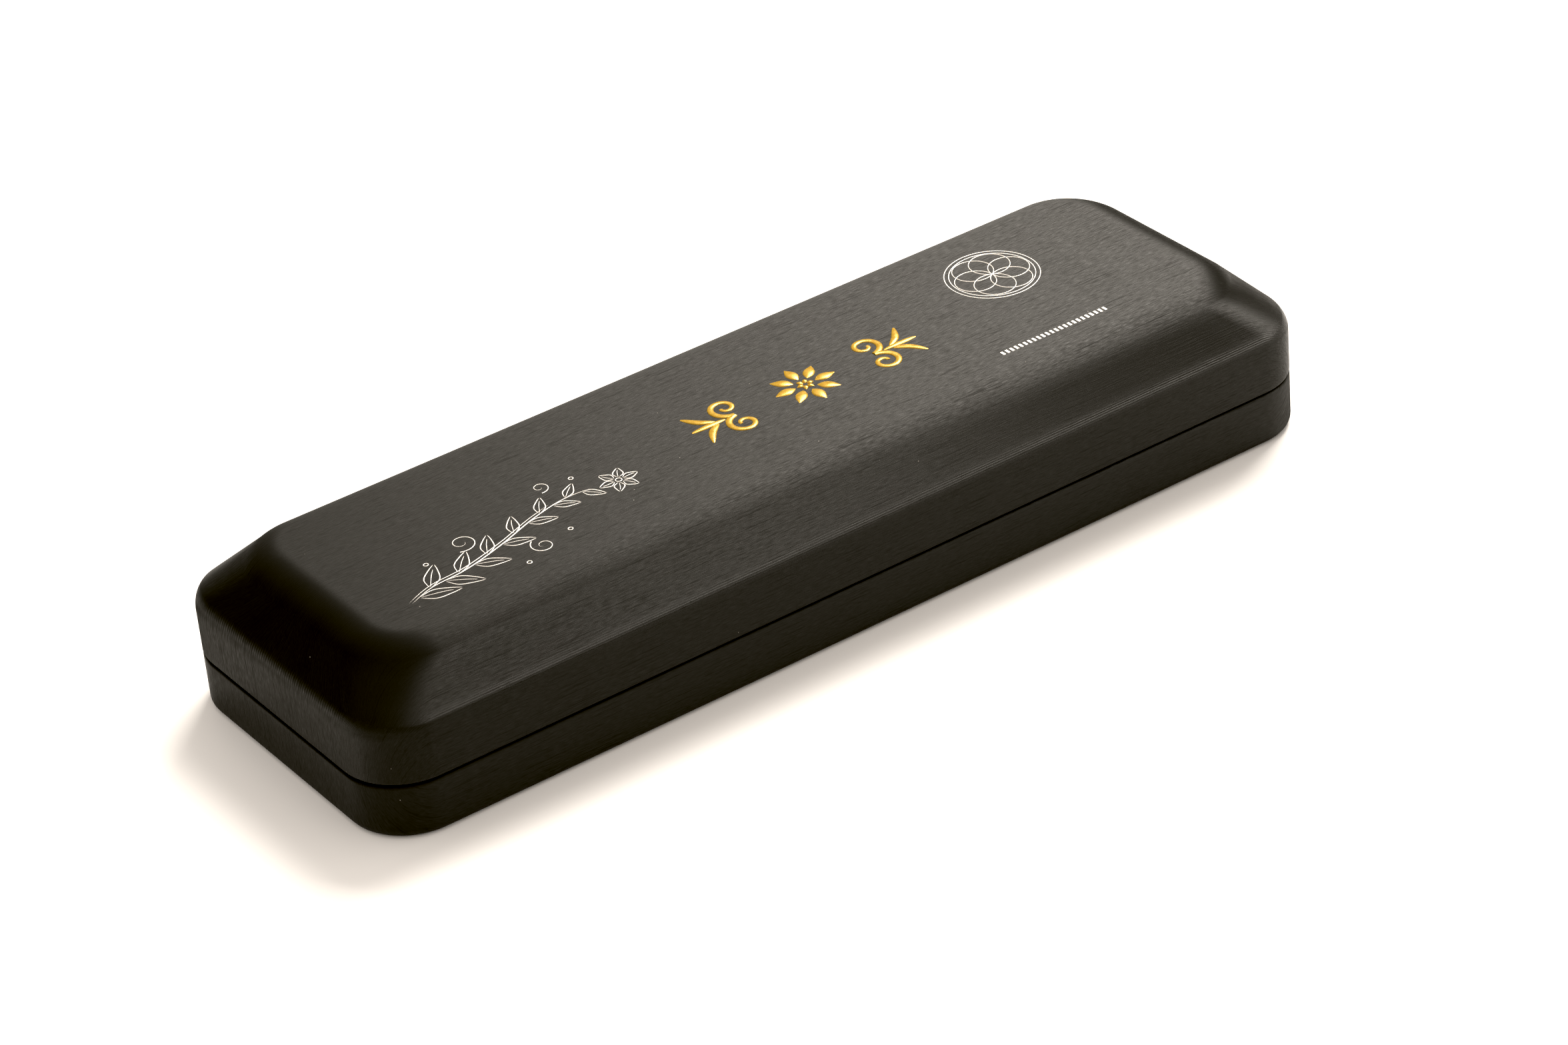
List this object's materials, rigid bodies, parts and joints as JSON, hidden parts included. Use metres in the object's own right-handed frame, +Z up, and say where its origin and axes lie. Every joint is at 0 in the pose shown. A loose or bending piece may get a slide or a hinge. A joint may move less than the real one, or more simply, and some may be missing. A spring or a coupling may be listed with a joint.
{
  "type": "harmonica in a hard case",
  "caption": "Single-note harmonica with comb, slotted reed plates, riveted reeds and arched covers, lying in the flocked tray of its black hinged clamshell case.",
  "frame": {"origin": "middle of the closed case's footprint, on the table it rests on", "axes": "+X along the case, from the harmonica's low end to its high end; +Y towards the hinge; +Z up through the lid"},
  "size_m": [0.21, 0.0718, 0.0322],
  "materials": {
    "brushed_film": "black film with a fine brushed grain along the case",
    "case_steel": "pressed sheet, bare inside the film",
    "flock": "black flocked formed sheet",
    "hinge_steel": "plated, satin",
    "spring_steel": "blued spring strip",
    "comb_plastic": "moulded, black, satin gloss",
    "plate_brass": "rolled, lightly brushed",
    "reed_brass": "filed, bright",
    "cover_steel": "pressed and polished",
    "bolt_steel": "nickel plated"
  },
  "bodies": {
    "base": {"base_covering": "brushed_film", "base_shell": "case_steel", "base_tray": "flock", "hinge_base_leaf": "hinge_steel", "hinge_pin": "hinge_steel", "snap_spring_left": "spring_steel", "snap_spring_right": "spring_steel"},
    "lid": {"lid_covering": "brushed_film", "lid_shell": "case_steel", "lid_lining": "flock", "hinge_lid_leaf": "hinge_steel"},
    "harmonica": {"comb": "comb_plastic", "upper_reed_plate": "plate_brass", "lower_reed_plate": "plate_brass", "upper_cover_plate": "cover_steel", "lower_cover_plate": "cover_steel", "cover_bolt_left": "bolt_steel", "cover_bolt_right": "bolt_steel", "cover_nut_left": "bolt_steel", "cover_nut_right": "bolt_steel", "blow_reed_01": "reed_brass", "blow_reed_02": "reed_brass", "blow_reed_03": "reed_brass", "blow_reed_04": "reed_brass", "blow_reed_05": "reed_brass", "blow_reed_06": "reed_brass", "blow_reed_07": "reed_brass", "blow_reed_08": "reed_brass", "blow_reed_09": "reed_brass", "blow_reed_10": "reed_brass", "blow_reed_11": "reed_brass", "blow_reed_12": "reed_brass", "draw_reed_01": "reed_brass", "draw_reed_02": "reed_brass", "draw_reed_03": "reed_brass", "draw_reed_04": "reed_brass", "draw_reed_05": "reed_brass", "draw_reed_06": "reed_brass", "draw_reed_07": "reed_brass", "draw_reed_08": "reed_brass", "draw_reed_09": "reed_brass", "draw_reed_10": "reed_brass", "draw_reed_11": "reed_brass", "draw_reed_12": "reed_brass", "upper_plate_screw_1": "bolt_steel", "upper_plate_screw_2": "bolt_steel", "upper_plate_screw_3": "bolt_steel", "lower_plate_screw_1": "bolt_steel", "lower_plate_screw_2": "bolt_steel", "lower_plate_screw_3": "bolt_steel"}
  },
  "joints": [
    {"name": "lid_hinge", "type": "hinge", "parent": "base", "child": "lid", "pos_m": [0, 0.035, 0.0111], "axis": [-1, 0, 0], "range_deg": [0, 100]},
    {"name": "harmonica_lift", "type": "slide", "parent": "base", "child": "harmonica", "axis": [0, 0, 1], "range_m": [0, 0.001]}
  ]
}
